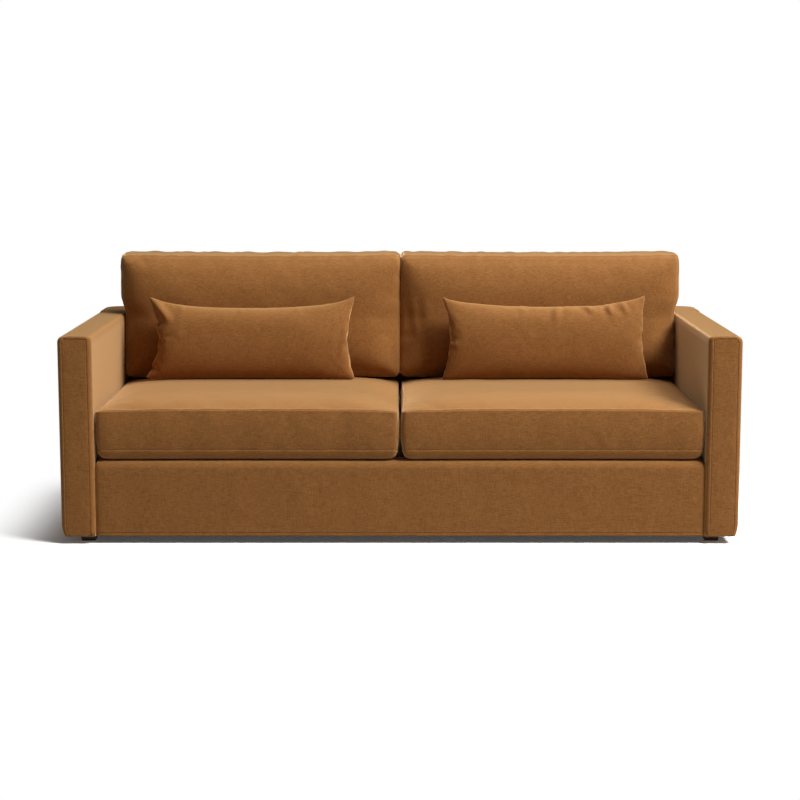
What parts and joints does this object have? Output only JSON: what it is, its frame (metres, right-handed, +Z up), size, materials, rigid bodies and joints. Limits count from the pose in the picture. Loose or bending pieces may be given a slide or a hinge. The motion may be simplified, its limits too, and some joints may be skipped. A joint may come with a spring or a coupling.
{
  "type": "tuxedo sofa",
  "caption": "Velvet tuxedo sofa: arms and back of one height on a sprung timber frame, boxed seat and back cushions, lumbar pillows and low block feet.",
  "frame": {"origin": "on the floor, below the centre of the sofa's width and depth", "axes": "+X to the sitter's left, which is the right side seen from the front, +Y from the front to the back, +Z up"},
  "size_m": [2.134, 1.016, 0.8722],
  "materials": {
    "velvet": "matt cotton velvet with a short pile",
    "deck_cloth": "plain woven decking cloth",
    "dust_cloth": "thin black bonded cloth",
    "foam": "open-cell foam and fibre wadding",
    "timber": "unfinished kiln-dried hardwood",
    "foot_wood": "dark stained wood, satin",
    "steel": "drawn spring steel",
    "webbing": "woven elastic webbing",
    "zip": "nylon coil zip"
  },
  "bodies": {
    "frame": {"front_rail": "timber", "rear_seat_rail": "timber", "rear_rail": "timber", "center_stretcher": "timber", "corner_block_left": "timber", "corner_block_right": "timber", "side_rail_left": "timber", "side_rail_right": "timber", "arm_front_post_left": "timber", "arm_front_post_right": "timber", "arm_rear_post_left": "timber", "arm_rear_post_right": "timber", "arm_top_rail_left": "timber", "arm_top_rail_right": "timber", "arm_slat_left": "timber", "arm_slat_right": "timber", "back_post_left": "timber", "back_post_center": "timber", "back_post_right": "timber", "back_top_rail": "timber", "back_lower_rail": "timber", "seat_springs": "steel", "spring_clip_strip_front": "steel", "spring_clip_strip_rear": "steel", "back_webbing": "webbing", "deck_pad": "foam", "deck_cover": "deck_cloth", "dust_cover": "dust_cloth", "arm_cover_left": "velvet", "arm_cover_right": "velvet", "arm_front_panel_left": "velvet", "arm_front_panel_right": "velvet", "back_cover": "velvet", "inner_back": "velvet", "front_border": "velvet", "foot_front_left": "foot_wood", "foot_front_right": "foot_wood", "foot_rear_left": "foot_wood", "foot_rear_right": "foot_wood", "foot_bolt_front_left": "steel", "foot_bolt_front_right": "steel", "foot_bolt_rear_left": "steel", "foot_bolt_rear_right": "steel"},
    "seat_cushion_left": {"seat_cushion_cover_left": "velvet", "seat_cushion_foam_left": "foam", "seat_cushion_zip_left": "zip"},
    "seat_cushion_right": {"seat_cushion_cover_right": "velvet", "seat_cushion_foam_right": "foam", "seat_cushion_zip_right": "zip"},
    "back_cushion_left": {"back_cushion_cover_left": "velvet", "back_cushion_fill_left": "foam", "back_cushion_zip_left": "zip"},
    "back_cushion_right": {"back_cushion_cover_right": "velvet", "back_cushion_fill_right": "foam", "back_cushion_zip_right": "zip"},
    "lumbar_pillow_left": {"lumbar_pillow_cover_left": "velvet", "lumbar_pillow_fill_left": "foam"},
    "lumbar_pillow_right": {"lumbar_pillow_cover_right": "velvet", "lumbar_pillow_fill_right": "foam"}
  },
  "joints": [
    {"name": "seat_cushion_left_pull", "type": "slide", "parent": "frame", "child": "seat_cushion_left", "axis": [0, -1, 0], "range_m": [0, 0.36]},
    {"name": "seat_cushion_right_pull", "type": "slide", "parent": "frame", "child": "seat_cushion_right", "axis": [0, -1, 0], "range_m": [0, 0.36]},
    {"name": "back_cushion_left_lift", "type": "slide", "parent": "frame", "child": "back_cushion_left", "axis": [0, 0.2008, 0.9796], "range_m": [0, 0.24]},
    {"name": "back_cushion_right_lift", "type": "slide", "parent": "frame", "child": "back_cushion_right", "axis": [0, 0.2008, 0.9796], "range_m": [0, 0.24]},
    {"name": "lumbar_pillow_left_lift", "type": "slide", "parent": "frame", "child": "lumbar_pillow_left", "axis": [0, -0.5, 0.866], "range_m": [0, 0.28]},
    {"name": "lumbar_pillow_right_lift", "type": "slide", "parent": "frame", "child": "lumbar_pillow_right", "axis": [0, -0.5, 0.866], "range_m": [0, 0.28]}
  ]
}
